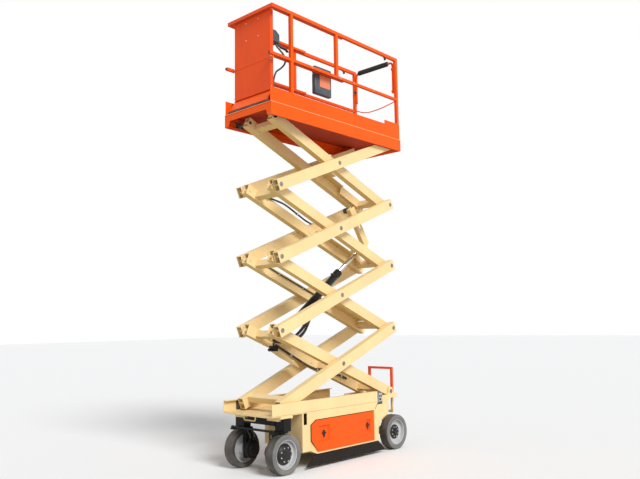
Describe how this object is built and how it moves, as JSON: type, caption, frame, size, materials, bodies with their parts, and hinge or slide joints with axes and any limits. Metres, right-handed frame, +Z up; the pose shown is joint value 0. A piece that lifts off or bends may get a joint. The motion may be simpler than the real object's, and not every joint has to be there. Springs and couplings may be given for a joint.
{
  "type": "narrow electric scissor lift",
  "caption": "Self-propelled narrow scissor lift: stacked crossing arms on a wheeled chassis raise a railed platform with a slide-out deck.",
  "frame": {"origin": "on the floor, under the centre of the machine's box", "axes": "+X towards the steered end, +Y to the machine's left, +Z up"},
  "size_m": [2.308, 0.76, 4.9618],
  "materials": {
    "cream_paint": "satin",
    "orange_paint": "satin",
    "black_paint": "satin",
    "black_plastic": "matte",
    "chrome": "polished",
    "grey_metal": "satin",
    "orange_cord": "matte",
    "tyre": "matte",
    "rim_grey": "satin"
  },
  "bodies": {
    "chassis": {"chassis_frame": "cream_paint", "slide_rail_left": "cream_paint", "slide_rail_right": "cream_paint", "tie_down_loop": "cream_paint", "rear_frame": "cream_paint", "rear_ladder": "orange_paint", "ground_control_box": "grey_metal", "front_axle": "black_paint"},
    "knuckle_left": {"knuckle_left": "black_paint", "drive_motor_left": "black_paint"},
    "knuckle_right": {"knuckle_right": "black_paint", "drive_motor_right": "black_paint"},
    "tie_rod": {"tie_rod": "black_paint"},
    "tray_left": {"tray_door_left": "orange_paint", "battery_pack": "black_plastic"},
    "tray_right": {"tray_door_right": "orange_paint", "power_unit": "black_paint"},
    "pothole_guard_left": {"pothole_guard_left": "black_paint"},
    "pothole_guard_right": {"pothole_guard_right": "black_paint"},
    "cylinder_barrel": {"cylinder_barrel": "black_paint"},
    "cylinder_rod": {"cylinder_rod": "chrome"},
    "safety_prop": {"safety_prop": "cream_paint", "prop_roller": "black_plastic"},
    "lower_blocks": {"lower_slide_block_left": "black_plastic", "lower_slide_block_right": "black_plastic"},
    "upper_blocks": {"upper_slide_block_left": "black_plastic", "upper_slide_block_right": "black_plastic"},
    "platform": {"platform_frame": "orange_paint", "guardrail_left": "orange_paint", "guardrail_right": "orange_paint", "entry_cable": "orange_cord"},
    "swing_gate": {"swing_gate": "orange_paint"},
    "deck_extension": {"extension_deck": "orange_paint", "extension_front": "orange_paint", "extension_rails_left": "orange_paint", "extension_rails_right": "orange_paint", "platform_control_box": "black_plastic", "document_case": "black_plastic"},
    "inner_1": {"inner_frame_1": "cream_paint"},
    "outer_1": {"outer_arm_1_left": "cream_paint", "outer_arm_1_right": "cream_paint", "slide_cross_plate": "cream_paint"},
    "inner_2": {"inner_frame_2": "cream_paint"},
    "outer_2": {"outer_arm_2_left": "cream_paint", "outer_arm_2_right": "cream_paint"},
    "inner_3": {"inner_frame_3": "cream_paint"},
    "outer_3": {"outer_arm_3_left": "cream_paint", "outer_arm_3_right": "cream_paint"},
    "inner_4": {"inner_frame_4": "cream_paint"},
    "outer_4": {"outer_arm_4_left": "cream_paint", "outer_arm_4_right": "cream_paint"},
    "wheel_front_left": {"tyre_front_left": "tyre", "rim_front_left": "rim_grey"},
    "wheel_front_right": {"tyre_front_right": "tyre", "rim_front_right": "rim_grey"},
    "wheel_rear_left": {"tyre_rear_left": "tyre", "rim_rear_left": "rim_grey"},
    "wheel_rear_right": {"tyre_rear_right": "tyre", "rim_rear_right": "rim_grey"}
  },
  "joints": [
    {"name": "lift", "type": "hinge", "parent": "chassis", "child": "inner_1", "pos_m": [-0.961, 0, 0.677], "axis": [0, -1, 0], "range_deg": [-18.1, 36.1]},
    {"name": "outer_1_pivot", "type": "hinge", "parent": "inner_1", "child": "outer_1", "pos_m": [-0.00415, 0, 1.06359], "axis": [0, -1, 0], "range_deg": [-72.4, 36.4]},
    {"name": "outer_2_pivot", "type": "hinge", "parent": "inner_1", "child": "outer_2", "pos_m": [0.95271, 0, 1.45019], "axis": [0, -1, 0], "range_deg": [-72.4, 36.4]},
    {"name": "inner_2_pivot", "type": "hinge", "parent": "outer_2", "child": "inner_2", "pos_m": [-0.00415, 0, 1.83678], "axis": [0, -1, 0], "range_deg": [-36.4, 72.4]},
    {"name": "inner_3_pivot", "type": "hinge", "parent": "outer_2", "child": "inner_3", "pos_m": [-0.961, 0, 2.22338], "axis": [0, -1, 0], "range_deg": [-36.4, 72.4]},
    {"name": "outer_3_pivot", "type": "hinge", "parent": "inner_3", "child": "outer_3", "pos_m": [-0.00415, 0, 2.60997], "axis": [0, -1, 0], "range_deg": [-72.4, 36.4]},
    {"name": "outer_4_pivot", "type": "hinge", "parent": "inner_3", "child": "outer_4", "pos_m": [0.95271, 0, 2.99656], "axis": [0, -1, 0], "range_deg": [-72.4, 36.4]},
    {"name": "inner_4_pivot", "type": "hinge", "parent": "outer_4", "child": "inner_4", "pos_m": [-0.00415, 0, 3.38316], "axis": [0, -1, 0], "range_deg": [-36.4, 72.4]},
    {"name": "platform_pivot", "type": "hinge", "parent": "outer_4", "child": "platform", "pos_m": [-0.961, 0, 3.76975], "axis": [0, -1, 0], "range_deg": [-18.3, 36.3]},
    {"name": "lower_block_pivot", "type": "hinge", "parent": "outer_1", "child": "lower_blocks", "pos_m": [0.95271, 0, 0.677], "axis": [0, -1, 0], "range_deg": [-18.3, 36.3]},
    {"name": "upper_block_pivot", "type": "hinge", "parent": "inner_4", "child": "upper_blocks", "pos_m": [0.95271, 0, 3.76975], "axis": [0, -1, 0], "range_deg": [-36.3, 18.3]},
    {"name": "cylinder_foot_pivot", "type": "hinge", "parent": "inner_1", "child": "cylinder_barrel", "pos_m": [0.69866, 0, 1.34755], "axis": [0, -1, 0], "range_deg": [-76.73, 38.57]},
    {"name": "cylinder_stroke", "type": "slide", "parent": "cylinder_barrel", "child": "cylinder_rod", "axis": [-0.7931, 0, 0.6091], "range_m": [-0.31, 0.62]},
    {"name": "safety_prop_pivot", "type": "hinge", "parent": "inner_3", "child": "safety_prop", "pos_m": [-0.68715, 0, 2.50658], "axis": [0, -1, 0], "range_deg": [-25.54, 50.74]},
    {"name": "steer_left", "type": "hinge", "parent": "chassis", "child": "knuckle_left", "pos_m": [0.947, 0.3, 0.42], "axis": [0, 0, 1], "range_deg": [-65, 65]},
    {"name": "steer_right", "type": "hinge", "parent": "chassis", "child": "knuckle_right", "pos_m": [0.947, -0.3, 0.42], "axis": [0, 0, 1], "range_deg": [-65.5, 65.5]},
    {"name": "tie_rod_pivot", "type": "hinge", "parent": "knuckle_left", "child": "tie_rod", "pos_m": [1.087, 0.3, 0.44], "axis": [0, 0, 1], "range_deg": [-65.5, 65.5]},
    {"name": "wheel_front_left_spin", "type": "hinge", "parent": "knuckle_left", "child": "wheel_front_left", "pos_m": [0.947, 0.3175, 0.203], "axis": [0, 1, 0], "continuous": true},
    {"name": "wheel_front_right_spin", "type": "hinge", "parent": "knuckle_right", "child": "wheel_front_right", "pos_m": [0.947, -0.3175, 0.203], "axis": [0, 1, 0], "continuous": true},
    {"name": "wheel_rear_left_spin", "type": "hinge", "parent": "chassis", "child": "wheel_rear_left", "pos_m": [-0.918, 0.3175, 0.203], "axis": [0, 1, 0], "continuous": true},
    {"name": "wheel_rear_right_spin", "type": "hinge", "parent": "chassis", "child": "wheel_rear_right", "pos_m": [-0.918, -0.3175, 0.203], "axis": [0, 1, 0], "continuous": true},
    {"name": "tray_left_swing", "type": "hinge", "parent": "chassis", "child": "tray_left", "pos_m": [-0.466, 0.37, 0.33], "axis": [0, 0, 1], "range_deg": [0, 90]},
    {"name": "pothole_guard_left_fold", "type": "hinge", "parent": "chassis", "child": "pothole_guard_left", "pos_m": [0, 0.3635, 0.14], "axis": [-1, 0, 0], "range_deg": [0, 80]},
    {"name": "tray_right_swing", "type": "hinge", "parent": "chassis", "child": "tray_right", "pos_m": [-0.466, -0.37, 0.33], "axis": [0, 0, -1], "range_deg": [0, 90]},
    {"name": "pothole_guard_right_fold", "type": "hinge", "parent": "chassis", "child": "pothole_guard_right", "pos_m": [0, -0.3635, 0.14], "axis": [1, 0, 0], "range_deg": [0, 80]},
    {"name": "gate_swing", "type": "hinge", "parent": "platform", "child": "swing_gate", "pos_m": [-1.13, 0.306, 4.7], "axis": [0, 0, 1], "range_deg": [0, 90]},
    {"name": "deck_extension_slide", "type": "slide", "parent": "platform", "child": "deck_extension", "axis": [1, 0, 0], "range_m": [0, 0.9]}
  ],
  "couplings": [
    {"joint": "outer_1_pivot", "follows": "lift", "ratio": -2},
    {"joint": "outer_2_pivot", "follows": "lift", "ratio": -2},
    {"joint": "inner_2_pivot", "follows": "lift", "ratio": 2},
    {"joint": "inner_3_pivot", "follows": "lift", "ratio": 2},
    {"joint": "outer_3_pivot", "follows": "lift", "ratio": -2},
    {"joint": "outer_4_pivot", "follows": "lift", "ratio": -2},
    {"joint": "inner_4_pivot", "follows": "lift", "ratio": 2},
    {"joint": "platform_pivot", "follows": "lift", "ratio": 1},
    {"joint": "lower_block_pivot", "follows": "lift", "ratio": 1},
    {"joint": "upper_block_pivot", "follows": "lift", "ratio": -1},
    {"joint": "cylinder_foot_pivot", "follows": "lift", "ratio": -2.12},
    {"joint": "cylinder_stroke", "follows": "lift", "m_per_rad": 0.97},
    {"joint": "safety_prop_pivot", "follows": "lift", "ratio": 1.4},
    {"joint": "steer_right", "follows": "steer_left", "ratio": 1},
    {"joint": "tie_rod_pivot", "follows": "steer_left", "ratio": -1}
  ]
}
